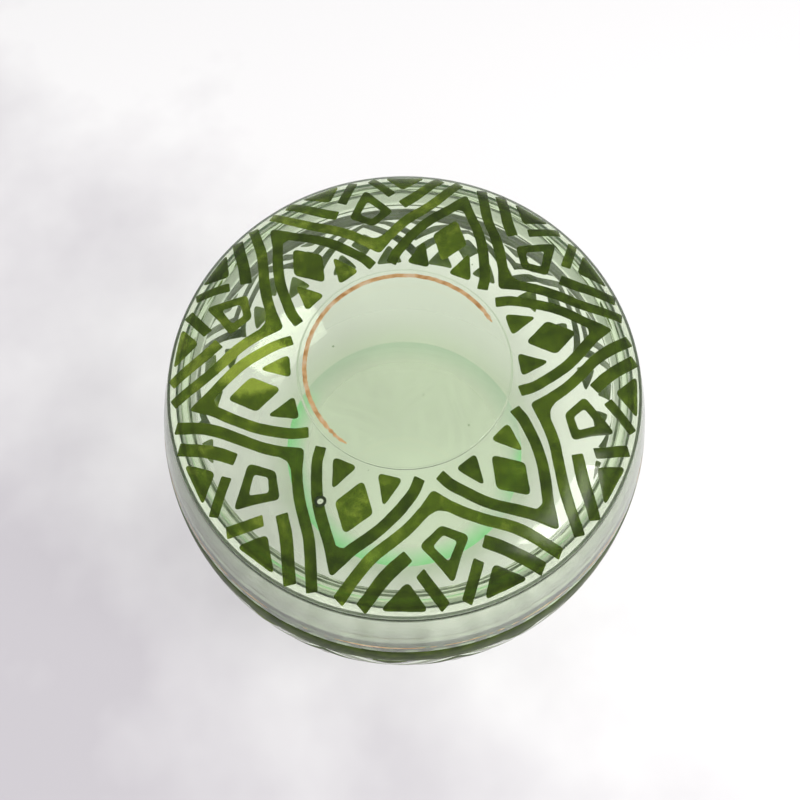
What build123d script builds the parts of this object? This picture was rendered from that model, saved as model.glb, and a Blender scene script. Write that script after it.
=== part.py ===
from build123d import *
from math import acos, asin, atan2, cos, degrees, hypot, pi, radians, sin, sqrt, tan
import os

# Squat glass powder jar with a lift-off domed lid, decorated with green enamel and gilding.
# Millimetres. Origin: centre of the plane that the foot rests on. +Z is up, along the jar's axis.

# ---- driving dimensions: jar ----------------------------------------------------------------
lid_radius = 55.0            # outside of the lid and of the jar's rim
belly_radius = 62.0          # outside of the jar at its widest
belly_height = 27.5          # height of the widest part
belly_bend = 20.0            # radius of the bend under the widest part
foot_radius = 34.5           # flat ground base that the jar stands on
seam_height = 61.5           # top of the jar's rim
wall = 3.6
base_thickness = 7.0         # inside floor above the resting plane
rim_rounding = 0.8

# ---- driving dimensions: lid ----------------------------------------------------------------
seat_gap = 0.12              # hairline between the ground rims of jar and lid
plateau_height = 7.2         # flat painted part of the lid above its base
plateau_radius = 38.5        # where the flat part starts to fall towards the rim
edge_height = 1.4            # upright edge of the lid
edge_rounding = 0.6
lid_wall = 3.4
disc_radius = 24.4           # low raised disc in the middle of the lid
disc_height = 0.7
disc_rounding = 0.5
flange_clearance = 0.5       # radial play of the locating flange in the mouth
flange_thickness = 2.3
flange_depth = 4.0

# ---- driving dimensions: decoration -----------------------------------------------------------
enamel_thickness = 0.15
gilt_thickness = 0.06
gilt_ring_radius = 22.6      # middle of the gold ring on the lid's disc
gilt_ring_width = 1.3
gilt_line_height = 47.6      # middle of the gold line round the jar
gilt_line_width = 1.1
petal_count = 6              # pointed arches round the lid
petal_pitch = 360 / petal_count
stripe_width = 2.5           # a long painted stripe on the lid
short_stripe_width = 2.7
band_count = 12              # repeats of the pattern round the belly
band_bottom = 13.5           # lower edge of the painted belly band
band_top = 44.8              # upper edge of the painted belly band
band_stripe_width = 2.6
band_gap = 0.5               # clear hairline where two repeats of the band meet
zigzag_fall = 17.0           # from a zigzag's peak to its valley
zigzag_step = 7.0            # from one zigzag down to the next
zigzag_margin = 2.2          # the upper zigzag's peak below the top of the band
top_triangle_size = (17.2, 14.2)     # width and height
diamond_size = (8.4, 10.8)
diamond_middle = 22.0        # height of the diamonds' middle
base_triangle_size = (8.8, 6.0)
base_triangle_offset = 7.6   # from the middle of a repeat

# ---- sizes that follow ------------------------------------------------------------------------
lid_base = seam_height + seat_gap
plateau_top = lid_base + plateau_height
disc_top = plateau_top + disc_height
mouth_radius = lid_radius - wall
flange_radius = mouth_radius - flange_clearance


def arc_radius(run, rise):
    """Radius of an arc that leaves one axis square and reaches rise across and run along."""
    return (rise**2 + run**2) / (2 * rise)


upper_run = seam_height - belly_height
upper_radius = arc_radius(upper_run, belly_radius - lid_radius)
upper_turn = degrees(asin(upper_run / upper_radius))
inner_belly = belly_radius - wall
inner_upper_radius = arc_radius(upper_run, inner_belly - mouth_radius)
inner_upper_turn = degrees(asin(upper_run / inner_upper_radius))
bend_centre = belly_radius - belly_bend
bend_turn = degrees(      # from the widest part down to where the wall runs straight to the foot
    atan2(belly_height, foot_radius - bend_centre)
    - acos(belly_bend / hypot(belly_height, foot_radius - bend_centre))
)
inner_bend = belly_bend - wall
inner_bend_end = (
    bend_centre + inner_bend * cos(radians(bend_turn)),
    belly_height - inner_bend * sin(radians(bend_turn)),
)
floor_radius = inner_bend_end[0] - (inner_bend_end[1] - base_thickness) * tan(radians(bend_turn))
shoulder_run = lid_radius - plateau_radius
shoulder_radius = arc_radius(shoulder_run, plateau_height - edge_height)


# ---- jar --------------------------------------------------------------------------------------
def belly_outline(grow):
    """Half section of the solid belly from below the painted band to the rim, grown outwards."""
    with BuildSketch(Plane.XZ) as outline:
        with BuildLine():
            upper = CenterArc(
                (belly_radius - upper_radius, belly_height), upper_radius + grow, 0, upper_turn
            )
            lower = CenterArc((bend_centre, belly_height), belly_bend + grow, 0, -bend_turn)
            Polyline(upper @ 1, (0, (upper @ 1).Y), (0, (lower @ 1).Y), lower @ 1)
        make_face()
    return outline.sketch


def belly_skin(thickness):
    """A thin layer on the outside of the belly."""
    with BuildPart() as skin:
        add(belly_outline(thickness))
        revolve(axis=Axis.Z)
    with BuildPart() as core:
        add(belly_outline(0))
        revolve(axis=Axis.Z)
    return skin.part - core.part


with BuildPart() as jar_bowl:
    with BuildSketch(Plane.XZ):
        with BuildLine():
            CenterArc((belly_radius - upper_radius, belly_height), upper_radius, 0, upper_turn)
            bend = CenterArc((bend_centre, belly_height), belly_bend, 0, -bend_turn)
            inside_bend = CenterArc((bend_centre, belly_height), inner_bend, 0, -bend_turn)
            Polyline(
                bend @ 1,
                (foot_radius, 0),
                (0, 0),
                (0, base_thickness),
                (floor_radius, base_thickness),
                inside_bend @ 1,
            )
            CenterArc(
                (inner_belly - inner_upper_radius, belly_height),
                inner_upper_radius,
                0,
                inner_upper_turn,
            )
            Line((mouth_radius, seam_height), (lid_radius, seam_height))
        make_face()
    revolve(axis=Axis.Z)
    fillet(jar_bowl.edges().group_by(Axis.Z)[-1], rim_rounding)
jar_bowl.part.label = "jar_bowl"

with BuildPart() as jar_gilt_line:
    add(belly_skin(gilt_thickness))
    with Locations((0, 0, gilt_line_height)):
        Cylinder(2 * belly_radius, gilt_line_width, mode=Mode.INTERSECT)
jar_gilt_line.part.label = "jar_gilt_line"


# ---- painted band on the belly ------------------------------------------------------------------
# Cells are drawn on an upright plane in front of the belly: x runs round it, y is the height.
enamel_on_belly = belly_skin(enamel_thickness)
band_plane = Plane.YZ.offset(2 * belly_radius)
band_reach = 1.5 * belly_radius      # past the front of the belly, short of its axis
half_pitch = belly_radius * sin(pi / band_count)
half = half_pitch - band_gap / 2


def on_belly(cells):
    """The painted patches that lie behind these cells."""
    with BuildPart() as patch:
        with BuildSketch(band_plane):
            add(cells)
        extrude(amount=-band_reach)
        add(enamel_on_belly, mode=Mode.INTERSECT)
    return patch.part


def chevron(peak):
    """A painted roof shape over one repeat of the band, with its peak at this height."""
    valley = peak - zigzag_fall
    drop = band_stripe_width * sqrt(1 + (zigzag_fall / half) ** 2)
    with BuildSketch() as cell:
        Polygon(
            (0, peak),
            (half, valley),
            (half, valley - drop),
            (0, peak - drop),
            (-half, valley - drop),
            (-half, valley),
            align=None,
        )
    return cell.sketch


upper_peak = band_top - zigzag_margin
with BuildSketch() as zigzag_cells:
    add(chevron(upper_peak))
    add(chevron(upper_peak - zigzag_step))

with BuildSketch() as top_triangle_cells:
    width, height = top_triangle_size
    with Locations((half, band_top), (-half, band_top)):
        Polygon((0, -height), (width / 2, 0), (-width / 2, 0), align=None)
    Rectangle(2 * half, 4 * band_top, mode=Mode.INTERSECT)

with BuildSketch() as belly_diamond_cells:
    width, height = diamond_size
    with Locations((0, diamond_middle)):
        Polygon(
            (0, height / 2), (width / 2, 0), (0, -height / 2), (-width / 2, 0), align=None
        )

with BuildSketch() as base_triangle_cells:
    width, height = base_triangle_size
    with Locations((base_triangle_offset, band_bottom), (-base_triangle_offset, band_bottom)):
        Polygon((0, height), (width / 2, 0), (-width / 2, 0), align=None)


# ---- lid ----------------------------------------------------------------------------------------
def shoulder_arc(grow):
    """The lid's falling shoulder, from the flat part to the upright edge, grown outwards."""
    return CenterArc(
        (plateau_radius, plateau_top - shoulder_radius),
        shoulder_radius + grow,
        90,
        -degrees(asin(shoulder_run / shoulder_radius)),
    )


def painted_outline(grow):
    """Half section of the solid under the lid's painted face, grown outwards."""
    with BuildSketch(Plane.XZ) as outline:
        with BuildLine():
            arc = shoulder_arc(grow)
            Polyline(arc @ 0, (0, (arc @ 0).Y), (0, (arc @ 1).Y), arc @ 1)
        make_face()
    return outline.sketch


with BuildPart() as painted_layer:
    add(painted_outline(enamel_thickness))
    revolve(axis=Axis.Z)
with BuildPart() as painted_core:
    add(painted_outline(0))
    revolve(axis=Axis.Z)
enamel_on_lid = painted_layer.part - painted_core.part

underside_arc_radius = shoulder_radius - lid_wall
underside_run = flange_radius - flange_thickness - plateau_radius
underside_turn = degrees(asin(underside_run / underside_arc_radius))
with BuildPart() as lid_glass:
    with BuildSketch(Plane.XZ):
        with BuildLine():
            shoulder = shoulder_arc(0)
            Polyline(
                shoulder @ 1,
                (lid_radius, lid_base),
                (flange_radius, lid_base),
                (flange_radius, lid_base - flange_depth),
                (flange_radius - flange_thickness, lid_base - flange_depth),
            )
            underside = CenterArc(
                (plateau_radius, plateau_top - shoulder_radius),
                underside_arc_radius,
                90 - underside_turn,
                underside_turn,
            )
            Line(
                (flange_radius - flange_thickness, lid_base - flange_depth), underside @ 0
            )
            Polyline(
                underside @ 1,
                (0, plateau_top - lid_wall),
                (0, disc_top),
                (disc_radius - disc_rounding, disc_top),
            )
            RadiusArc(
                (disc_radius - disc_rounding, disc_top),
                (disc_radius, disc_top - disc_rounding),
                disc_rounding,
            )
            Polyline((disc_radius, disc_top - disc_rounding), (disc_radius, plateau_top))
            Line((disc_radius, plateau_top), shoulder @ 0)
        make_face()
    revolve(axis=Axis.Z)
    rim_edges = lid_glass.edges().filter_by(
        lambda e: abs(e.radius - lid_radius) < 0.01 if e.geom_type == GeomType.CIRCLE else False
    )
    fillet(rim_edges, edge_rounding)
lid_glass.part.label = "lid_glass"

with BuildPart() as lid_gilt_ring:
    with BuildSketch(Plane.XY.offset(disc_top)):
        Circle(gilt_ring_radius + gilt_ring_width / 2)
        Circle(gilt_ring_radius - gilt_ring_width / 2, mode=Mode.SUBTRACT)
    extrude(amount=gilt_thickness)
lid_gilt_ring.part.label = "lid_gilt_ring"


# ---- painted pattern on the lid -------------------------------------------------------------------
# Petal cells are drawn with the petal pointing along +Y from the jar's axis, valley cells with the
# valley between two petals along +Y. Every cell has its mirror image across that line.
def on_lid(cells, start_angle):
    """One repeat of a painted patch, turned to start_angle round the axis."""
    with BuildPart() as patch:
        with BuildSketch(Plane.XY.offset(lid_base).rotated((0, 0, start_angle - 90))):
            add(cells)
        extrude(amount=plateau_height + 2)
        add(enamel_on_lid, mode=Mode.INTERSECT)
    return patch.part


def stroke(points, width):
    """A painted stripe of even width along a smooth line through these points."""
    with BuildLine() as path:
        Spline(*points)
    with BuildSketch() as cell:
        trace(path.line, line_width=width)
    return cell.sketch


with BuildSketch() as arch_cells:
    add(stroke([(11.3, 23.9), (10.6, 28.4), (7.2, 36.4), (1.3, 44.6)], stripe_width))
    mirror(about=Plane.YZ)
    Polygon((0, 42.6), (3.2, 43.6), (0, 49.0), (-3.2, 43.6), align=None)

with BuildSketch() as petal_diamond_cells:
    Polygon((0, 40.3), (4.3, 34.4), (0, 28.1), (-4.3, 34.4), align=None)

with BuildSketch() as inner_triangle_cells:
    Polygon((5.7, 32.4), (2.2, 25.6), (8.0, 25.2), align=None)
    mirror(about=Plane.YZ)

with BuildSketch() as short_stripe_cells:
    add(stroke([(14.1, 40.4), (11.2, 45.0), (7.7, 52.1)], short_stripe_width))
    mirror(about=Plane.YZ)

with BuildSketch() as rim_triangle_cells:
    Polygon((11.9, 51.3), (15.5, 45.3), (20.7, 48.5), align=None)
    mirror(about=Plane.YZ)

with BuildSketch() as valley_stripe_cells:
    add(stroke([(0.9, 32.1), (7.6, 36.9), (16.4, 41.4), (23.7, 46.6)], stripe_width))
    mirror(about=Plane.YZ)
    Polygon((0, 29.7), (2.2, 31.8), (0, 33.4), (-2.2, 31.8), align=None)

with BuildSketch() as kite_cells:
    Polygon((0, 37.2), (5.4, 40.4), (0, 48.7), (-5.4, 40.4), align=None)
    with BuildSketch(mode=Mode.SUBTRACT):
        Polygon((0, 39.3), (2.6, 41.1), (0, 44.8), (-2.6, 41.1), align=None)

with BuildSketch() as bar_cells:
    add(stroke([(6.3, 45.5), (4.3, 48.9), (2.2, 52.3)], stripe_width))
    mirror(about=Plane.YZ)


# ---- rings of painted patches ---------------------------------------------------------------------
def ring_of(patch, count):
    """Copies of one repeat's patches, turned evenly round the axis."""
    with BuildPart() as ring:
        with PolarLocations(0, count):
            add(patch)
    return ring.part


belly_cells = {
    "jar_enamel_zigzags": zigzag_cells,
    "jar_enamel_top_triangles": top_triangle_cells,
    "jar_enamel_diamonds": belly_diamond_cells,
    "jar_enamel_base_triangles": base_triangle_cells,
}
petal_cells = {
    "lid_enamel_petal_arches": arch_cells,
    "lid_enamel_petal_diamonds": petal_diamond_cells,
    "lid_enamel_inner_triangles": inner_triangle_cells,
    "lid_enamel_short_stripes": short_stripe_cells,
    "lid_enamel_rim_triangles": rim_triangle_cells,
}
valley_cells = {
    "lid_enamel_valley_stripes": valley_stripe_cells,
    "lid_enamel_kites": kite_cells,
    "lid_enamel_bars": bar_cells,
}

pieces = [jar_bowl.part, jar_gilt_line.part, lid_glass.part, lid_gilt_ring.part]
for label, cells in belly_cells.items():
    pieces.append(ring_of(on_belly(cells.sketch), band_count))
    pieces[-1].label = label
for label, cells in petal_cells.items():
    pieces.append(ring_of(on_lid(cells.sketch, 0), petal_count))
    pieces[-1].label = label
for label, cells in valley_cells.items():
    pieces.append(ring_of(on_lid(cells.sketch, petal_pitch / 2), petal_count))
    pieces[-1].label = label

os.makedirs("parts", exist_ok=True)
for piece in pieces:
    export_step(piece, f"parts/{piece.label}.step")
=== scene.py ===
import math

import bmesh
import bpy
from mathutils import Matrix, Vector, geometry, noise


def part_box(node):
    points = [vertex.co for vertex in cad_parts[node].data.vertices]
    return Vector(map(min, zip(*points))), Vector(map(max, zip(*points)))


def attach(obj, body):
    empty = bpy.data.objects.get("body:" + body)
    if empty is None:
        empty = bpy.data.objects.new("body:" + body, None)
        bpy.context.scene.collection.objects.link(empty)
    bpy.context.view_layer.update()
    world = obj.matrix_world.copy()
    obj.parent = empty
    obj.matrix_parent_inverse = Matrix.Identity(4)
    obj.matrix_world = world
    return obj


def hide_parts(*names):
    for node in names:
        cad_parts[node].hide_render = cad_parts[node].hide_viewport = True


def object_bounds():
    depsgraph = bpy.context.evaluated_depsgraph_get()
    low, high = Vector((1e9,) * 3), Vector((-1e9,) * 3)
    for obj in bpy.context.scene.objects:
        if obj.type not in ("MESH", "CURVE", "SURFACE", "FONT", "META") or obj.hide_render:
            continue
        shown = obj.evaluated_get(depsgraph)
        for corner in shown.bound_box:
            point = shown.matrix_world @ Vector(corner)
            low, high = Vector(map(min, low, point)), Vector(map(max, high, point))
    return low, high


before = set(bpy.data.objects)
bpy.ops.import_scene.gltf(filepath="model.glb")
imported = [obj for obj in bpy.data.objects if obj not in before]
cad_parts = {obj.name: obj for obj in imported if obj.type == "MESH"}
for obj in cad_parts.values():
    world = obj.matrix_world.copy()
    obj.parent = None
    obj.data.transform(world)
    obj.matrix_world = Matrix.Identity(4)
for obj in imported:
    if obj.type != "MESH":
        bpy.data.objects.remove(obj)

# Squat powder jar of thick pale green glass with a lift-off lid, painted in green enamel and gilded.
# Lengths in the sections below are millimetres in the CAD frame; MM turns them into metres.
MM = 0.001
cad_lo, cad_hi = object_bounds()

# noise_vector takes its seed from the clock unless one is set, so the brush wobble needs this.
noise.seed_set(1)

# ---- sizes read from the frame -------------------------------------------------------------------
_, jar_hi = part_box("jar_bowl")
lid_lo, lid_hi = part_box("lid_glass")
_, ring_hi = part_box("lid_gilt_ring")
line_lo, line_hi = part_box("jar_gilt_line")
lid_radius = round(lid_hi.x / MM, 2)
belly_radius = round(jar_hi.x / MM, 2)
seam_height = jar_hi.z / MM
disc_top = lid_hi.z / MM
flange_bottom = lid_lo.z / MM
gilt_outer = ring_hi.x / MM
gilt_height = (line_lo.z + line_hi.z) / 2 / MM

# ---- sizes inside those boxes, as the CAD holds them ---------------------------------------------
belly_height = 27.5
wall = 3.6
base_thickness = 7.0
belly_bend = 20.0
foot_radius = 34.5
rim_rounding = 0.8
worn_rounding = 1.25
lid_base = seam_height + 0.12
plateau_top = lid_base + 7.2
plateau_radius = 38.5
edge_height = 1.4
edge_rounding = 0.6
lid_wall = 3.4
disc_radius = 24.4
disc_rounding = 0.5
flange_outer = lid_radius - wall - 0.5
flange_inner = flange_outer - 2.3
gilt_width = 1.3
enamel_thickness = 0.06
clearance = 0.006               # hairline between the paint and the glass
matt_film = 0.04                # thickness of a ground, matt film
gilt_thickness = 0.03
band_top = 44.8                 # upper edge of the belly's painted band
SPIN = 384                      # steps round the axis on turned glass


# ---- outlines ------------------------------------------------------------------------------------
def arc(centre_r, centre_z, radius, start, end, step=2.0):
    """Points on an arc of a half section, from start to end in degrees."""
    count = max(2, math.ceil(abs(end - start) / step))
    angles = [math.radians(start + (end - start) * i / count) for i in range(count + 1)]
    return [(centre_r + radius * math.cos(a), centre_z + radius * math.sin(a)) for a in angles]


def arc_radius(run, rise):
    """Radius of an arc that leaves one axis square and reaches rise across and run along."""
    return (rise**2 + run**2) / (2 * rise)


def rounded(corners, radii, step=12.0):
    """An open chain of corners with each inner corner turned into a true arc of its radius."""
    chain = [corners[0]]
    for before, corner, after, radius in zip(corners, corners[1:], corners[2:], radii):
        back = (Vector(before) - Vector(corner)).normalized()
        on = (Vector(after) - Vector(corner)).normalized()
        half = back.angle(on) / 2
        if radius <= 0 or half > math.radians(88):
            chain.append(corner)
            continue
        reach = radius / math.tan(half)
        centre = Vector(corner) + (back + on).normalized() * radius / math.sin(half)
        first = Vector(corner) + back * reach - centre
        turn = first.angle_signed(Vector(corner) + on * reach - centre)
        count = max(2, math.ceil(abs(math.degrees(turn)) / step))
        for i in range(count + 1):
            chain.append(tuple(centre + Matrix.Rotation(-turn * i / count, 2) @ first))
    chain.append(corners[-1])
    return chain


upper_run = seam_height - belly_height
upper_radius = arc_radius(upper_run, belly_radius - lid_radius)
upper_turn = math.degrees(math.asin(upper_run / upper_radius))
inner_belly = belly_radius - wall
mouth_radius = lid_radius - wall
inner_upper = arc_radius(upper_run, inner_belly - mouth_radius)
inner_turn = math.degrees(math.asin(upper_run / inner_upper))
bend_centre = belly_radius - belly_bend
bend_turn = math.degrees(
    math.atan2(belly_height, foot_radius - bend_centre)
    - math.acos(belly_bend / math.hypot(belly_height, foot_radius - bend_centre))
)
shoulder_run = lid_radius - plateau_radius
shoulder_radius = arc_radius(shoulder_run, plateau_top - lid_base - edge_height)
shoulder_turn = math.degrees(math.asin(shoulder_run / shoulder_radius))


def belly_r(z):
    """Outside radius of the jar at this height."""
    if z >= belly_height:
        return belly_radius - upper_radius + math.sqrt(upper_radius**2 - (z - belly_height) ** 2)
    return bend_centre + math.sqrt(belly_bend**2 - (belly_height - z) ** 2)


def lid_z(r):
    """Height of the lid's painted face at this distance from the axis."""
    if r <= plateau_radius:
        return plateau_top
    drop = shoulder_radius - math.sqrt(shoulder_radius**2 - (r - plateau_radius) ** 2)
    return plateau_top - drop


def jar_section():
    """Closed half section of the jar, from the middle of the foot out, up, over the rim and back in."""
    outer = arc(bend_centre, belly_height, belly_bend, -bend_turn, 0)
    outer += arc(belly_radius - upper_radius, belly_height, upper_radius, 0, upper_turn, 0.8)[1:-1]
    foot = [(0, 0), (10, 0), (20, 0), (30, 0)] + rounded([(0, 0), (foot_radius, 0), outer[0]], [0.5])[1:]
    rim = rounded(
        [outer[-1], (lid_radius, seam_height), (mouth_radius, seam_height), (mouth_radius, 55)],
        [worn_rounding, rim_rounding],
    )
    inside = arc(inner_belly - inner_upper, belly_height, inner_upper, inner_turn, 0, 0.8)[2:]
    inside += arc(bend_centre, belly_height, belly_bend - wall, 0, -bend_turn)[1:]
    end_r, end_z = inside[-1]
    floor_radius = end_r - (end_z - base_thickness) * math.tan(math.radians(bend_turn))
    floor = rounded([inside[-1], (floor_radius, base_thickness), (0, base_thickness)], [9.0], 3.0)
    floor = floor[:-1] + [(r, base_thickness) for r in (25, 18, 10, 4)] + floor[-1:]
    return foot[:-1] + outer[:-1] + rim[:-1] + inside[:-1] + floor


def lid_section():
    """Closed half section of the lid, from the middle of its underside out, round the edge and over."""
    face = arc(plateau_radius, plateau_top - shoulder_radius, shoulder_radius, 90, 90 - shoulder_turn)
    disc = rounded(
        [(0, disc_top), (disc_radius, disc_top), (disc_radius, plateau_top), face[0]],
        [disc_rounding, 0.15],
        8.0,
    )
    edge = rounded(
        [face[-2], (lid_radius, face[-1][1]), (lid_radius, lid_base), (flange_outer, lid_base)],
        [edge_rounding, 0.3],
    )
    flange = rounded(
        [
            (flange_outer, lid_base),
            (flange_outer, flange_bottom),
            (flange_inner, flange_bottom),
            (flange_inner, lid_base),
        ],
        [0.9, 0.9],
    )
    under_radius = shoulder_radius - lid_wall
    under_turn = math.degrees(math.asin((flange_inner - plateau_radius) / under_radius))
    under = arc(plateau_radius, plateau_top - shoulder_radius, under_radius, 90 - under_turn, 90)
    around = disc + face[1:-2] + edge[:-1] + flange[:-1] + under + [(0, plateau_top - lid_wall)]
    return around[::-1]


# ---- mesh makers ---------------------------------------------------------------------------------
def piece_from(name, verts, faces, body, material, crease=40, turn_outward=True):
    """A smooth-shaded piece from points in millimetres, riding on a body."""
    mesh = bpy.data.meshes.new(name)
    mesh.from_pydata([tuple(c * MM for c in v) for v in verts], [], faces)
    mesh.validate()
    if turn_outward:
        shell = bmesh.new()
        shell.from_mesh(mesh)
        bmesh.ops.recalc_face_normals(shell, faces=shell.faces)
        shell.to_mesh(mesh)
        shell.free()
    mesh.shade_smooth()
    mesh.set_sharp_from_angle(angle=math.radians(crease))
    mesh.materials.append(material)
    obj = bpy.data.objects.new(name, mesh)
    bpy.context.scene.collection.objects.link(obj)
    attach(obj, body)
    return obj


def turned(section, steps=SPIN):
    """Points and faces of a solid turned from a closed half section that starts and ends on the axis."""
    verts = [(0, 0, section[0][1])]
    ring_starts = []
    for r, z in section[1:-1]:
        ring_starts.append(len(verts))
        for i in range(steps):
            a = 2 * math.pi * i / steps
            verts.append((r * math.cos(a), r * math.sin(a), z))
    verts.append((0, 0, section[-1][1]))
    faces = []
    for i in range(steps):
        j = (i + 1) % steps
        faces.append((0, ring_starts[0] + j, ring_starts[0] + i))
        for a, b in zip(ring_starts, ring_starts[1:]):
            faces.append((a + i, a + j, b + j, b + i))
        faces.append((ring_starts[-1] + i, ring_starts[-1] + j, len(verts) - 1))
    return verts, faces


def turned_piece(name, section, is_ground, extra, body):
    """Turned glass; is_ground(r, z) says where it is ground matt, extra is (verts, faces) to add."""
    verts, faces = turned(section)
    faces = faces + [tuple(i + len(verts) for i in f) for f in extra[1]]
    verts = verts + extra[0]
    obj = piece_from(name, verts, faces, body, GLASS, turn_outward=False)
    ground = obj.data.attributes.new("ground", "FLOAT", "POINT")
    for value, (x, y, z) in zip(ground.data, verts):
        value.value = float(is_ground(math.hypot(x, y), z))
    return obj


# ---- materials -----------------------------------------------------------------------------------
def shader(name):
    """A new material with its Principled shader and a function that adds a linked node."""
    material = bpy.data.materials.new(name)
    material.use_nodes = True
    nodes = material.node_tree.nodes
    links = material.node_tree.links
    base = nodes["Principled BSDF"]

    def node(kind, inputs=None, **settings):
        made = nodes.new(kind)
        for key, value in settings.items():
            setattr(made, key, value)
        for key, value in (inputs or {}).items():
            if isinstance(value, bpy.types.NodeSocket):
                links.new(value, made.inputs[key])
            else:
                made.inputs[key].default_value = value
        return made

    return material, base, node, links


def object_coords(node):
    return node("ShaderNodeTexCoord").outputs["Object"]


def ramp(node, factor, stops):
    made = node("ShaderNodeValToRGB", {"Fac": factor})
    elements = made.color_ramp.elements
    while len(elements) < len(stops):
        elements.new(0.5)
    for element, (position, colour) in zip(elements, stops):
        element.position = position
        element.color = (*colour, 1)
    return made.outputs["Color"]


def pale_green_glass():
    material, base, node, links = shader("pale_green_glass")
    base.inputs["Base Color"].default_value = (1, 1, 1, 1)
    base.inputs["Transmission Weight"].default_value = 1.0
    base.inputs["IOR"].default_value = 1.52
    ground = node("ShaderNodeAttribute", attribute_name="ground")
    matt = node("ShaderNodeMath", {0: ground.outputs["Fac"], 1: 0.6}, operation="MULTIPLY")
    links.new(matt.outputs["Value"], base.inputs["Roughness"])
    coords = object_coords(node)
    ripples = node("ShaderNodeTexNoise", {"Vector": coords, "Scale": 40.0, "Detail": 1.0})
    height = ripples.outputs["Fac"]
    bump = node("ShaderNodeBump", {"Strength": 0.25, "Distance": 0.0004, "Height": height})
    links.new(bump.outputs["Normal"], base.inputs["Normal"])
    tint = node("ShaderNodeVolumeAbsorption", {"Color": (0.54, 0.905, 0.12, 1), "Density": 36.0})
    output = material.node_tree.nodes["Material Output"]
    links.new(tint.outputs["Volume"], output.inputs["Volume"])
    return material


def green_enamel(name, ior, roughness, transmission):
    material, base, node, links = shader(name)
    coords = object_coords(node)
    settings = {"Vector": coords, "Scale": 260.0, "Detail": 4.0, "Roughness": 0.6}
    clouds = node("ShaderNodeTexNoise", settings).outputs["Fac"]
    # The tone attribute holds a random lightness per cell and painted light that lightens the left of
    # the lid.
    tone = node("ShaderNodeAttribute", attribute_name="tone").outputs["Fac"]
    both_parts = node("ShaderNodeMath", {0: clouds, 1: tone}, operation="ADD")
    colour = ramp(
        node,
        both_parts.outputs["Value"],
        [(0.38, (0.046, 0.078, 0.004)), (0.72, (0.115, 0.175, 0.011)), (1.0, (0.34, 0.42, 0.06))],
    )
    links.new(colour, base.inputs["Base Color"])
    base.inputs["Transmission Weight"].default_value = transmission
    base.inputs["IOR"].default_value = ior
    base.inputs["Roughness"].default_value = roughness
    fine = node("ShaderNodeTexNoise", {"Vector": coords, "Scale": 900.0, "Detail": 3.0})
    bump = node("ShaderNodeBump", {"Strength": 0.25, "Distance": 0.0001, "Height": fine.outputs["Fac"]})
    links.new(bump.outputs["Normal"], base.inputs["Normal"])
    return material


def ground_glass(name, scale, stops, transmission):
    material, base, node, links = shader(name)
    coords = object_coords(node)
    grain = node("ShaderNodeTexNoise", {"Vector": coords, "Scale": scale, "Detail": 2.0})
    links.new(ramp(node, grain.outputs["Fac"], stops), base.inputs["Base Color"])
    base.inputs["Transmission Weight"].default_value = transmission
    base.inputs["Roughness"].default_value = 0.55
    bump = node("ShaderNodeBump", {"Strength": 0.3, "Distance": 0.00003, "Height": grain.outputs["Fac"]})
    links.new(bump.outputs["Normal"], base.inputs["Normal"])
    return material


def painted_glow_foot():
    """The jar's foot with a painted glow of light gathered through the glass: clear toward the middle,
    teal at its edge, bright green at the front left.
    """
    glow_from, glow_full = 0.0285, 0.0344       # distances from the axis in metres
    material, base, node, links = shader("painted_glow_foot")
    coords = object_coords(node)
    flat = node("ShaderNodeVectorMath", {0: coords, 1: (1, 1, 0)}, operation="MULTIPLY")
    away = node("ShaderNodeVectorMath", {0: flat.outputs["Vector"]}, operation="LENGTH")
    share = node(
        "ShaderNodeMapRange",
        {"Value": away.outputs["Value"], "From Min": glow_from, "From Max": glow_full},
    )
    # Painted glow: noise patches and a lean toward the front left brighten the edge to a strong green.
    patches = node("ShaderNodeTexNoise", {"Vector": coords, "Scale": 38.0, "Detail": 1.0})
    toward_front = node("ShaderNodeVectorMath", {0: coords, 1: (-5.0, -7.5, 0)}, operation="DOT_PRODUCT")
    lit = node(
        "ShaderNodeMath",
        {0: toward_front.outputs["Value"], 1: patches.outputs["Fac"]},
        operation="ADD",
    )
    edge = ramp(node, lit.outputs["Value"], [(0.50, (0.84, 0.94, 0.89)), (0.62, (0.45, 1.0, 0.54))])
    mixed = node("ShaderNodeMix", data_type="RGBA")
    links.new(share.outputs["Result"], mixed.inputs[0])
    mixed.inputs[6].default_value = (1, 1, 1, 1)
    links.new(edge, mixed.inputs[7])
    links.new(mixed.outputs[2], base.inputs["Base Color"])
    base.inputs["Transmission Weight"].default_value = 1.0
    base.inputs["Roughness"].default_value = 0.5
    base.inputs["IOR"].default_value = 1.1
    return material


def worn_gilding():
    material, base, node, links = shader("worn_gilding")
    coords = object_coords(node)
    clouds = node("ShaderNodeTexNoise", {"Vector": coords, "Scale": 420.0, "Detail": 5.0})
    colour = ramp(
        node,
        clouds.outputs["Fac"],
        [(0.35, (0.60, 0.30, 0.11)), (0.52, (0.86, 0.54, 0.26)), (0.68, (0.94, 0.74, 0.52))],
    )
    links.new(colour, base.inputs["Base Color"])
    base.inputs["Metallic"].default_value = 0.8
    base.inputs["Roughness"].default_value = 0.38
    return material


GLASS = pale_green_glass()
LID_ENAMEL = green_enamel("green_enamel_lid", 1.38, 0.24, 0.8)
BELLY_ENAMEL = green_enamel("green_enamel_belly", 1.06, 0.3, 0.45)
GILT = worn_gilding()
GROUND = ground_glass(
    "ground_glass", 2600.0, [(0.35, (0.80, 0.84, 0.74)), (0.65, (0.92, 0.95, 0.88))], 0.45
)
CLOUDY = ground_glass("cloudy_glass", 900.0, [(0.3, (0.40, 0.46, 0.33)), (0.7, (0.50, 0.56, 0.42))], 0.3)
FOOT_GLOW = painted_glow_foot()
# A near-black colour for the ring mark's dark rim.
DARK = ground_glass(
    "dark_ring_mark", 900.0, [(0.35, (0.006, 0.012, 0.004)), (0.65, (0.02, 0.035, 0.008))], 0.0
)


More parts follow.
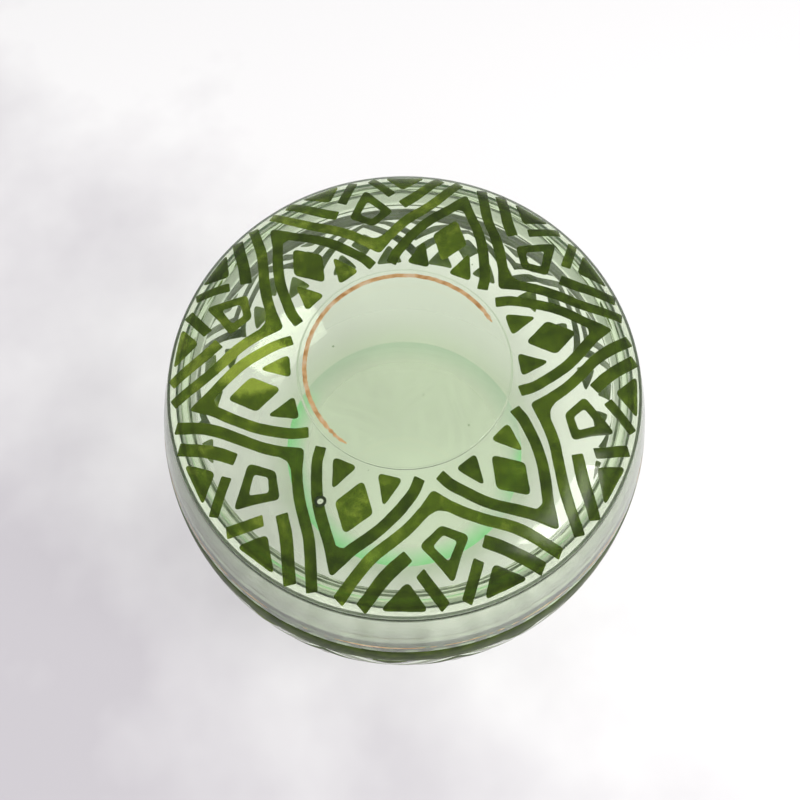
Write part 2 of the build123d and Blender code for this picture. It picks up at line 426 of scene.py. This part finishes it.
# ---- the glass -----------------------------------------------------------------------------------
def bubble(centre, radius, flatten, rings=14, steps=28):
    """A void in the glass: a closed shell that faces inwards."""
    verts = [(centre[0], centre[1], centre[2] + radius * flatten)]
    for i in range(1, rings):
        polar = math.pi * i / rings
        for j in range(steps):
            a = 2 * math.pi * j / steps
            verts.append(
                (
                    centre[0] + radius * math.sin(polar) * math.cos(a),
                    centre[1] + radius * math.sin(polar) * math.sin(a),
                    centre[2] + radius * flatten * math.cos(polar),
                )
            )
    verts.append((centre[0], centre[1], centre[2] - radius * flatten))
    faces = []
    for j in range(steps):
        k = (j + 1) % steps
        faces.append((0, 1 + k, 1 + j))
        for i in range(rings - 2):
            a, b = 1 + i * steps, 1 + (i + 1) * steps
            faces.append((a + j, a + k, b + k, b + j))
        last = 1 + (rings - 2) * steps
        faces.append((last + j, last + k, len(verts) - 1))
    return verts, faces


def bubbles(places):
    """Several voids as one list of points and faces; places are (radius, angle, height, size)."""
    verts, faces = [], []
    for r, angle, z, size in places:
        a = math.radians(angle)
        more_verts, more_faces = bubble((r * math.cos(a), r * math.sin(a), z), size, 0.9)
        faces += [tuple(i + len(verts) for i in f) for f in more_faces]
        verts += more_verts
    return verts, faces


lid_bubbles = bubbles(
    [
        (17.0, 152.0, plateau_top - 1.0, 0.22),
        (31.0, 47.0, plateau_top - 1.8, 0.18),
        (8.0, -70.0, plateau_top - 2.0, 0.14),
        (42.0, 99.0, plateau_top - 2.2, 0.20),
    ]
)
jar_bubbles = bubbles(
    [
        (59.5, -60.0, 40.0, 0.30),
        (20.0, 10.0, 3.5, 0.25),
        (12.0, 200.0, 4.2, 0.18),
        (58.0, 120.0, 47.0, 0.22),
    ]
)


def jar_ground(r, z):
    """The jar's flat rim and its foot are ground, the clear band below the rim is handled and dull."""
    if z > seam_height - 0.1 or (z < 0.1 and r > 0.9 * foot_radius):
        return 1.0
    return 0.25 if z > band_top and r > mouth_radius + 1 else 0.0


def lid_ground(r, z):
    """The lid's seat and the outside of its flange are ground."""
    return 1.0 if z < lid_base + 0.1 and r > flange_outer - 0.1 else 0.0


jar_glass = turned_piece("jar_glass", jar_section(), jar_ground, jar_bubbles, "jar")
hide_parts("jar_bowl")
lid_shell = turned_piece("lid_shell", lid_section(), lid_ground, lid_bubbles, "lid")
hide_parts("lid_glass")


# ---- painted cells -------------------------------------------------------------------------------
def mirrored(points):
    return [(-x, y) for x, y in reversed(points)]


def smooth_line(points, step=0.5):
    """A smooth line through these points (Catmull-Rom), as closely spaced points."""
    first = Vector(points[0]) * 2 - Vector(points[1])
    last = Vector(points[-1]) * 2 - Vector(points[-2])
    knots = [first] + [Vector(p) for p in points] + [last]
    line = []
    for a, b, c, d in zip(knots, knots[1:], knots[2:], knots[3:]):
        count = max(2, math.ceil((c - b).length / step))
        for i in range(count):
            t = i / count
            squared = (2 * a - 5 * b + 4 * c - d) * t**2
            cubed = (3 * b - a - 3 * c + d) * t**3
            line.append((2 * b + (c - a) * t + squared + cubed) / 2)
    line.append(knots[-2])
    return line


def edges_of(points, width):
    """Both edges of a stripe of this width along a smooth line."""
    line = smooth_line(points)
    left, right = [], []
    for i, p in enumerate(line):
        on = (line[min(i + 1, len(line) - 1)] - line[max(i - 1, 0)]).normalized()
        side = Vector((-on.y, on.x)) * width / 2
        left.append(tuple(p + side))
        right.append(tuple(p - side))
    return left, right


def stripe(points, width):
    """Outline of a stripe."""
    left, right = edges_of(points, width)
    return right + left[::-1]


def soften(outline, radius, step=0.34):
    """The outline with rounded corners and evenly spaced points."""
    points = [Vector(p) for p in outline]
    count = len(points)
    soft = []
    for i, corner in enumerate(points):
        back, on = points[i - 1] - corner, points[(i + 1) % count] - corner
        turn = math.pi - back.angle(on)
        if turn < math.radians(14):
            soft.append(corner)
            continue
        reach = min(radius * (0.6 + turn / 2), 0.45 * back.length, 0.45 * on.length)
        a, b = corner + back.normalized() * reach, corner + on.normalized() * reach
        for k in range(6):
            t = k / 5
            soft.append(a * (1 - t) ** 2 + corner * 2 * t * (1 - t) + b * t**2)
    return even(soft, step)


def even(points, step):
    """Points at even distances round a closed line."""
    closed = points + [points[0]]
    lengths = [(b - a).length for a, b in zip(closed, closed[1:])]
    total = sum(lengths)
    count = max(8, round(total / step))
    result = []
    index, passed = 0, 0.0
    for i in range(count):
        target = total * i / count
        while passed + lengths[index] < target:
            passed += lengths[index]
            index += 1
        share = (target - passed) / lengths[index] if lengths[index] else 0
        result.append(closed[index].lerp(closed[index + 1], share))
    return result


def by_hand(points, seed, swing=0.16, tremble=0.045):
    """The outline as a brush leaves it: a slow drift and a fine unevenness."""
    offset = Vector((seed * 7.31, seed * 3.17, seed * 1.93))
    moved = []
    for p in points:
        at = Vector((p.x, p.y, 0))
        slow = noise.noise_vector(at / 5.5 + offset) * swing
        fine = noise.noise_vector(at / 1.1 + offset * 2) * tremble
        moved.append(Vector((p.x + slow.x + fine.x, p.y + slow.y + fine.y)))
    return moved


def inward(points, distance):
    """The closed outline moved to its left side, which is inside for a counterclockwise one."""
    moved = []
    for i, p in enumerate(points):
        on = (points[(i + 1) % len(points)] - points[i - 1]).normalized()
        moved.append(p + Vector((-on.y, on.x)) * distance)
    return moved


def signed_area(points):
    return sum(a.x * b.y - b.x * a.y for a, b in zip(points, points[1:] + points[:1])) / 2


def inside(p, outline):
    """Whether a point is inside a closed outline."""
    odd = False
    for a, b in zip(outline, outline[1:] + outline[:1]):
        if (a.y > p[1]) != (b.y > p[1]) and p[0] < (b.x - a.x) * (p[1] - a.y) / (b.y - a.y) + a.x:
            odd = not odd
    return odd


EDGE_SLOPE = 0.2                # how far the paint takes to reach its full thickness


def cell_mesh(outlines, lift, grid=0.95):
    """A thin closed cushion of paint over one cell: outlines are the outer one and any holes.

    lift(x, y, height) puts a point of the drawing on the glass, height above its surface."""
    rims, tops = [], []
    for n, outline in enumerate(outlines):
        if (signed_area(outline) > 0) == (n > 0):
            outline = outline[::-1]
        rims.append(outline)
        tops.append(inward(outline, EDGE_SLOPE))
    flat, edges = [], []
    for top in tops:
        start = len(flat)
        flat += top
        edges += [(start + i, start + (i + 1) % len(top)) for i in range(len(top))]
    xs, ys = [p.x for p in tops[0]], [p.y for p in tops[0]]
    outline_points = list(flat)
    y = min(ys)
    row = 0
    while y < max(ys):
        x = min(xs) + (grid / 2 if row % 2 else 0)
        while x < max(xs):
            if inside((x, y), tops[0]) and not any(inside((x, y), hole) for hole in tops[1:]):
                if min((p.x - x) ** 2 + (p.y - y) ** 2 for p in outline_points) > (0.42 * grid) ** 2:
                    flat.append(Vector((x, y)))
            x += grid
        y += grid * 0.866
        row += 1
    made = geometry.delaunay_2d_cdt(flat, edges, [], 0, 1e-6)
    points, triangles, sources = made[0], made[2], made[3]
    kept = []
    for t in triangles:
        middle = sum((points[i] for i in t), Vector((0, 0))) / 3
        if inside(middle, tops[0]) and not any(inside(middle, hole) for hole in tops[1:]):
            kept.append(tuple(t))
    verts = [lift(p.x, p.y, enamel_thickness) for p in points]
    place = {}
    for i, source in enumerate(sources):
        for s in source:
            place[s] = i
    under = len(verts)
    verts += [lift(p.x, p.y, clearance) for p in points]
    faces = kept + [tuple(i + under for i in reversed(t)) for t in kept]
    start = 0
    for rim, top in zip(rims, tops):
        base = len(verts)
        verts += [lift(p.x, p.y, clearance + 0.008) for p in rim]
        for i in range(len(rim)):
            j = (i + 1) % len(rim)
            upper_i, upper_j = place[start + i], place[start + j]
            faces.append((base + i, base + j, upper_j, upper_i))
            faces.append((base + j, base + i, upper_i + under, upper_j + under))
        start += len(top)
    return verts, faces


pale_x, pale_y, pale_reach = 33.7, 7.2, 9       # one paler spot, on the left of the lid


def tone_of(x, y, seed):
    """How light a cell's colour is, 0 to 1: painted light lightens the left of the lid, a paler spot
    sits on the left and each cell differs at random.
    """
    # Painted light: cells toward the left of the lid are coloured lighter, as if lit from behind.
    painted_light_left = (-x * 0.98 + y * 0.21) / belly_radius
    varied = noise.noise(Vector((seed * 7.3, seed * 3.1, 1.7)))
    pale_spot = min(0.45, max(0.0, 1 - math.hypot(x + pale_x, y - pale_y) / pale_reach))
    return min(0.6, max(0.0, 0.07 + 0.12 * painted_light_left + 0.30 * varied + 1.3 * pale_spot))


def painted(name, outlines_of, lift_at, count, body, node):
    """All copies of some cells round the axis as one piece of paint; outlines_of(copy) lists them."""
    verts, faces, tones = [], [], []
    for copy in range(count):
        for number, outlines in enumerate(outlines_of(copy)):
            cell_verts, cell_faces = cell_mesh(outlines, lift_at(copy))
            faces += [tuple(i + len(verts) for i in f) for f in cell_faces]
            verts += cell_verts
            seed = len(name) + 13 * copy + 5 * number
            tones += [tone_of(x, y, seed) for x, y, z in cell_verts]
    enamel = LID_ENAMEL if body == "lid" else BELLY_ENAMEL
    obj = piece_from(name, verts, faces, body, enamel, 60)
    attribute = obj.data.attributes.new("tone", "FLOAT", "POINT")
    for item, tone in zip(attribute.data, tones):
        item.value = tone
    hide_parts(node)
    return obj


spread_from = 44.0
edge_spread = 0.12


def lid_lift(first_angle, count):
    """Places drawings on the lid's face: their +Y points away from the axis at each copy's angle."""

    def at(copy):
        turn = math.radians(first_angle - 90 + 360 * copy / count)
        cos, sin = math.cos(turn), math.sin(turn)

        def lift(x, y, height):
            r = math.hypot(x, y)
            spread = 1 + max(0.0, r - spread_from) * edge_spread / r
            x, y, r = x * spread, y * spread, r * spread
            tilt = 0.0
            if r > plateau_radius:
                tilt = math.asin((r - plateau_radius) / shoulder_radius)
            out = 1 + height * math.sin(tilt) / r
            px, py = x * out, y * out
            return (px * cos - py * sin, px * sin + py * cos, lid_z(r) + height * math.cos(tilt))

        return lift

    return at


def belly_lift(count, half_pitch):
    """Places drawings on the belly: x runs round it, half_pitch for half a repeat, y is the height."""

    def at(copy):
        def lift(x, y, height):
            a = 2 * math.pi * copy / count + x / half_pitch * math.pi / count
            slope = (belly_r(y + 0.1) - belly_r(y - 0.1)) / 0.2
            r = belly_r(y) + height / math.hypot(1, slope)
            return (r * math.cos(a), r * math.sin(a), y - height * slope / math.hypot(1, slope))

        return lift

    return at


hole_radius = 0.5               # corners of the holes in the cells


def drawn(cells, radius, seed, swing=0.16):
    """Each copy's cells with their own hand: cells is a list of [outer, hole, ...] corner lists."""

    def of(copy):
        made = []
        for number, outlines in enumerate(cells):
            key = seed + 11 * copy + 3 * number
            softened = [soften(o, radius if k == 0 else hole_radius) for k, o in enumerate(outlines)]
            made.append([by_hand(outline, key, swing) for outline in softened])
        return made

    return of


# ---- the lid's pattern ---------------------------------------------------------------------------
stripe_width = 2.5
short_stripe_width = 2.7
bar_width = 2.3


def arch_outline(points, width, outer_tip, inner_tip):
    """A pointed arch: a stripe up to the tip and its mirror image down."""
    left, right = edges_of(points, width)
    outer = right[:-2] + [(0, outer_tip)]
    inner = left[:-2] + [(0, inner_tip)]
    return outer + mirrored(outer[:-1]) + mirrored(inner[:-1])[::-1] + inner[::-1]


petal_arch = arch_outline(
    [(11.3, 23.9), (10.6, 28.4), (7.2, 36.4), (1.3, 44.6)], stripe_width, 49.0, 43.2
)
petal_diamond = [(0, 40.3), (4.3, 34.4), (0, 28.1), (-4.3, 34.4)]
inner_triangle = [(5.7, 32.4), (2.2, 25.6), (8.0, 25.2)]
short_stripe = stripe([(14.1, 40.4), (11.2, 45.0), (7.7, 52.1)], short_stripe_width)
rim_triangle = [(11.4, 51.4), (15.4, 44.8), (21.3, 48.3)]
valley_stripe = arch_outline(
    [(23.7, 46.6), (16.4, 41.4), (7.6, 36.9), (1.9, 33.0)], stripe_width, 33.9, 29.3
)
kite = [(0, 37.2), (5.4, 40.4), (0, 48.7), (-5.4, 40.4)]
kite_hole = [(0, 39.3), (2.6, 41.1), (0, 44.8), (-2.6, 41.1)]
bar = stripe([(6.3, 45.5), (4.3, 48.9), (2.2, 52.3)], bar_width)


def both(outline):
    """A cell and its mirror image."""
    return [[outline], [mirrored(outline)]]


petals = lid_lift(0, 6)
valleys = lid_lift(30, 6)
lid_groups = [
    ("lid_paint_petal_arches", [[petal_arch]], petals, "lid_enamel_petal_arches"),
    ("lid_paint_petal_diamonds", [[petal_diamond]], petals, "lid_enamel_petal_diamonds"),
    ("lid_paint_inner_triangles", both(inner_triangle), petals, "lid_enamel_inner_triangles"),
    ("lid_paint_short_stripes", both(short_stripe), petals, "lid_enamel_short_stripes"),
    ("lid_paint_rim_triangles", both(rim_triangle), petals, "lid_enamel_rim_triangles"),
    ("lid_paint_valley_stripes", [[valley_stripe]], valleys, "lid_enamel_valley_stripes"),
    ("lid_paint_kites", [[kite, kite_hole]], valleys, "lid_enamel_kites"),
    ("lid_paint_bars", both(bar), valleys, "lid_enamel_bars"),
]
for seed, (name, cells, place, node) in enumerate(lid_groups):
    painted(name, drawn(cells, 0.9, 100 * (seed + 1)), place, 6, "lid", node)


# ---- the belly's pattern -------------------------------------------------------------------------
band_count = 12
half_pitch = belly_radius * math.sin(math.pi / band_count)
zigzag_margin = 2.2             # the upper zigzag's peak below the top of the band
upper_peak = band_top - zigzag_margin
zigzag_fall = 17.0
zigzag_step = 7.0
lower_peak = upper_peak - zigzag_step
zigzag_width = 2.9
zigzag_drop = zigzag_width * math.hypot(1, zigzag_fall / half_pitch)
border_width = 8.6
ring_wobble = 0.22
border_foot = band_top - border_width - 0.45


def swept(loops, closed):
    """Points and faces of a thin body swept through these cross sections."""
    size = len(loops[0])
    verts = [p for loop in loops for p in loop]
    faces = []
    for i in range(len(loops) if closed else len(loops) - 1):
        a, b = i * size, (i + 1) % len(loops) * size
        faces += [(a + k, b + k, b + (k + 1) % size, a + (k + 1) % size) for k in range(size)]
    if not closed:
        faces.append(tuple(range(size)))
        faces.append(tuple(len(verts) - 1 - k for k in range(size)))
    return verts, faces


def band_section(lift, x, low, high, thickness):
    """Cross section of a painted line that runs round the axis, between two heights or radii."""
    slope = min(EDGE_SLOPE, (high - low) / 4)
    across = [low + slope, low + (high - low) * 0.35, low + (high - low) * 0.65, high - slope]
    top = [lift(x, y, thickness) for y in across]
    under = [lift(x, y, clearance) for y in reversed(across)]
    edge = clearance + 0.3 * thickness
    return [lift(x, low, edge)] + top + [lift(x, high, edge)] + under


def zigzag(x, peak):
    """Height of a zigzag's upper edge; x is the distance from a peak round the belly."""
    return peak - zigzag_fall * abs(x) / half_pitch


def painted_rings(name, edges_at, node=None):
    """Painted lines all round the belly; each of edges_at gives (low, high) for x from a peak."""
    lift = belly_lift(band_count, half_pitch)(0)
    steps = 48
    verts, faces = [], []
    for number, edges in enumerate(edges_at):
        loops = []
        for i in range(band_count * steps):
            x = (2 * i / steps) * half_pitch
            low, high = edges((x + half_pitch) % (2 * half_pitch) - half_pitch)
            a = 2 * math.pi * i / (band_count * steps)
            at = Vector((math.cos(a), math.sin(a), 0.3 * number)) * 9
            low += ring_wobble * noise.noise(at)
            high += ring_wobble * noise.noise(at + Vector((5, 3, 1)))
            loops.append(band_section(lift, x, low, high, enamel_thickness))
        more_verts, more_faces = swept(loops[::-1], True)
        faces += [tuple(k + len(verts) for k in f) for f in more_faces]
        verts += more_verts
    obj = piece_from(name, verts, faces, "jar", BELLY_ENAMEL, 60)
    if node:
        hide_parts(node)
    return obj


painted_rings(
    "jar_paint_zigzags",
    [
        lambda x: (zigzag(x, upper_peak) - zigzag_drop, min(zigzag(x, upper_peak), border_foot)),
        lambda x: (zigzag(x, lower_peak) - zigzag_drop, zigzag(x, lower_peak)),
    ],
    "jar_enamel_zigzags",
)
painted_rings("jar_paint_border_line", [lambda x: (band_top - border_width, band_top)])
top_triangle = [(0, band_top - 14.2), (4.8, band_top - 9.1), (-4.8, band_top - 9.1)]
belly_diamond = [(0, 27.4), (-4.2, 22.0), (0, 16.6), (4.2, 22.0)]
base_triangle = [(7.6, 19.5), (3.2, 13.5), (12.0, 13.5)]
peaks = belly_lift(band_count, half_pitch)


def dips(copy):
    """Places drawings between two peaks of the zigzag."""
    lift = peaks(copy)
    return lambda x, y, height: lift(x + half_pitch, y, height)


belly_groups = [
    ("jar_paint_top_triangles", [[top_triangle]], dips, "jar_enamel_top_triangles"),
    ("jar_paint_diamonds", [[belly_diamond]], peaks, "jar_enamel_diamonds"),
    ("jar_paint_base_triangles", both(base_triangle), peaks, "jar_enamel_base_triangles"),
]
for seed, (name, cells, place, node) in enumerate(belly_groups):
    painted(name, drawn(cells, 0.7, 1000 + 100 * seed, 0.12), place, band_count, "jar", node)


# ---- gilding -------------------------------------------------------------------------------------
def worn_line(name, lift, turn_to_x, middle, width, wear_at, body, node, seed):
    """A gilt line round the axis, rubbed away where wear_at(angle) nears 1."""
    steps = 1440
    verts, faces, run = [], [], []
    for i in range(steps + 1):
        angle = 360 * i / steps
        a = math.radians(angle)
        at = Vector((math.cos(a), math.sin(a), seed))
        patchy = 0.5 + 0.75 * noise.noise(at * 7) + 0.35 * noise.noise(at * 38)
        full = min(1.0, max(0.0, (patchy + 1 - 1.9 * wear_at(angle)) * 1.6))
        shift = 0.12 * width * noise.noise(at * 21 + Vector((4, 4, 4)))
        half_width = width / 2 * full
        if i < steps and half_width > 0.12 * width:
            low, high = middle + shift - half_width, middle + shift + half_width
            run.append(band_section(lift, turn_to_x * angle, low, high, gilt_thickness))
            continue
        if len(run) > 2:
            more_verts, more_faces = swept(run[::-1], False)
            faces += [tuple(k + len(verts) for k in f) for f in more_faces]
            verts += more_verts
        run = []
    obj = piece_from(name, verts, faces, body, GILT, 60)
    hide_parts(node)
    return obj


def disc_lift(x, y, height):
    """Places a drawing on the lid's disc: x is the angle in degrees and y the distance from the axis."""
    a = math.radians(x)
    return (y * math.cos(a), y * math.sin(a), disc_top + height)


def lid_wear(angle):
    """How far the gold ring is rubbed away; it has lasted on the left and at the back."""
    lasted = 118.0
    away = abs((angle - lasted + 180) % 360 - 180)
    return min(1.0, max(0.0, (away - 45) / 75) ** 1.5)


def jar_wear(angle):
    """The belly's gold line is rubbed about the same all round."""
    return 0.62


worn_line(
    "lid_worn_gilt_ring",
    disc_lift,
    1,
    gilt_outer - gilt_width / 2,
    1.0,
    lid_wear,
    "lid",
    "lid_gilt_ring",
    3,
)
worn_line(
    "jar_worn_gilt_line",
    belly_lift(band_count, half_pitch)(0),
    half_pitch * band_count / 180,
    gilt_height,
    0.7,
    jar_wear,
    "jar",
    "jar_gilt_line",
    8,
)


# ---- ground rim and foot -------------------------------------------------------------------------
def ground_ring(name, low, high, z, material):
    """A thin matt film between two radii at a height, as grinding leaves on flat glass."""
    bevel = 0.1
    loops = []
    for i in range(SPIN):
        a = 2 * math.pi * i / SPIN
        top = z + matt_film
        corners = ((low, z), (low + bevel, top), (high - bevel, top), (high, z))
        loops.append([(r * math.cos(a), r * math.sin(a), height) for r, height in corners])
    verts, faces = swept(loops, True)
    return piece_from(name, verts, faces, "jar", material, 30)


ground_ring(
    "jar_ground_rim",
    mouth_radius + rim_rounding,
    lid_radius - worn_rounding,
    seam_height + 0.01,
    GROUND,
)
# The foot's film carries the painted glow of light gathered at the foot's edge.
ground_ring("jar_ground_foot", foot_radius - 6.5, foot_radius - 0.05, 0.02, FOOT_GLOW)


# ---- ring mark -----------------------------------------------------------------------------------
def ring_mark(angle, r, size, thickness):
    """A small ring mark on the lid's paint: a dark raised rim round a pale, bright middle."""
    a = math.radians(angle)
    middle = Vector((r * math.cos(a), r * math.sin(a), plateau_top))
    rim_height = 0.12
    loops = []
    for i in range(40):
        b = 2 * math.pi * i / 40
        out = Vector((math.cos(b), math.sin(b), 0))
        wobble = 1 + 0.06 * math.sin(2 * b + 1)
        loop = []
        for k in range(10):
            c = 2 * math.pi * k / 10
            away = size * wobble + thickness * math.cos(c)
            up = rim_height + thickness * 0.4 * math.sin(c)
            loop.append(tuple(middle + out * away + Vector((0, 0, up))))
        loops.append(loop)
    verts, faces = swept(loops, True)
    piece_from("lid_ring_mark_rim", verts, faces, "lid", DARK, 60)
    loops = []
    for i in range(28):
        b = 2 * math.pi * i / 28
        out = Vector((math.cos(b), math.sin(b), 0))
        reach = size - thickness * 0.6
        corners = ((0.08, 0.075), (reach, 0.075), (reach, 0.11), (0.08, rim_height))
        loops.append([tuple(middle + out * d + Vector((0, 0, h))) for d, h in corners])
    verts, faces = swept(loops, True)
    piece_from("lid_ring_mark_middle", verts, faces, "lid", CLOUDY, 60)


ring_mark(-131.5, 36.1, 0.95, 0.33)


# ---- floor, lights, camera -----------------------------------------------------------------------
def cloth_floor():
    material, base, node, links = shader("white_cloth")
    coords = object_coords(node)
    # Painted shade: the cloth's colour darkens toward the left and the front, as if the window's light
    # fell off, and soft noise patches paint the shade of folds together with a faint mottle.
    fold_shade_and_mottle = node("ShaderNodeTexNoise", {"Vector": coords, "Scale": 14.0, "Detail": 4.0})
    across = node("ShaderNodeVectorMath", {0: coords, 1: (3.0, 1.6, 0)}, operation="DOT_PRODUCT")
    shade = node(
        "ShaderNodeMath",
        {0: across.outputs["Value"], 1: fold_shade_and_mottle.outputs["Fac"]},
        operation="ADD",
    )
    stops = [(0.05, (0.51, 0.49, 0.525)), (0.56, (0.79, 0.785, 0.795))]
    colour = ramp(node, shade.outputs["Value"], stops)
    links.new(colour, base.inputs["Base Color"])
    base.inputs["Roughness"].default_value = 0.9
    mesh = bpy.data.meshes.new("floor")
    reach = 1.6
    corners = [(-reach, -reach, 0), (reach, -reach, 0), (reach, reach, 0), (-reach, reach, 0)]
    mesh.from_pydata(corners, [], [(0, 1, 2, 3)])
    mesh.materials.append(material)
    obj = bpy.data.objects.new("floor", mesh)
    bpy.context.scene.collection.objects.link(obj)
    obj.location.z = cad_lo.z - 0.0001


def area_light(name, azimuth, elevation, distance, size, power, colour):
    """A soft light that looks at the jar; azimuth 0 is in front and 90 on the right."""
    data = bpy.data.lights.new(name, "AREA")
    data.shape = "RECTANGLE"
    data.size, data.size_y = size
    data.energy = power
    data.color = colour
    obj = bpy.data.objects.new(name, data)
    bpy.context.scene.collection.objects.link(obj)
    a, e = math.radians(azimuth), math.radians(elevation)
    back = Vector((math.sin(a) * math.cos(e), -math.cos(a) * math.cos(e), math.sin(e)))
    obj.location = back * distance
    obj.rotation_euler = back.to_track_quat("Z", "Y").to_euler()
    return obj


def studio():
    world = bpy.data.worlds.new("room")
    bpy.context.scene.world = world
    world.use_nodes = True
    nodes, links = world.node_tree.nodes, world.node_tree.links
    back = nodes["Background"]
    coords = nodes.new("ShaderNodeTexCoord")
    split = nodes.new("ShaderNodeSeparateXYZ")
    links.new(coords.outputs["Generated"], split.inputs["Vector"])
    sky = nodes.new("ShaderNodeValToRGB")
    links.new(split.outputs["Z"], sky.inputs["Fac"])
    stops = sky.color_ramp.elements
    stops[0].position, stops[0].color = 0.0, (0.62, 0.62, 0.62, 1)
    stops[1].position, stops[1].color = 1.0, (1.0, 1.0, 0.99, 1)
    links.new(sky.outputs["Color"], back.inputs["Color"])
    back.inputs["Strength"].default_value = 0.48
    area_light("window", 58, 49, 0.60, (0.24, 0.20), 0.80, (1.0, 0.99, 0.97))
    ceiling = area_light("ceiling", 0, 84, 1.2, (0.6, 0.6), 12.0, (1.0, 0.99, 0.985))
    ceiling.visible_glossy = False
    ceiling.visible_transmission = False
    blockers = bpy.data.collections.new("ceiling_blockers")
    blockers.objects.link(bpy.data.objects["floor"])
    ceiling.light_linking.blocker_collection = blockers


def camera():
    """The camera looks down at the middle of the lid's rim from close by."""
    distance = 0.198
    azimuth, elevation = math.radians(-12.0), math.radians(68.24)
    flat = math.cos(elevation)
    back = Vector((math.sin(azimuth) * flat, -math.cos(azimuth) * flat, math.sin(elevation)))
    data = bpy.data.cameras.new("camera")
    data.lens = 38.07
    data.sensor_width = 36
    data.shift_x = -0.0059
    data.shift_y = -0.0284
    data.clip_start = 0.01
    obj = bpy.data.objects.new("camera", data)
    bpy.context.scene.collection.objects.link(obj)
    obj.location = Vector((0, 0, seam_height * MM)) + back * distance
    roll = Matrix.Rotation(math.radians(0.3), 3, "Z")
    obj.rotation_euler = (back.to_track_quat("Z", "Y").to_matrix() @ roll).to_euler()
    bpy.context.scene.camera = obj


cloth_floor()
studio()
camera()

scene = bpy.context.scene
scene.view_settings.view_transform = "Standard"
scene.cycles.max_bounces = 24
scene.cycles.transmission_bounces = 22
scene.cycles.glossy_bounces = 8
scene.cycles.diffuse_bounces = 5
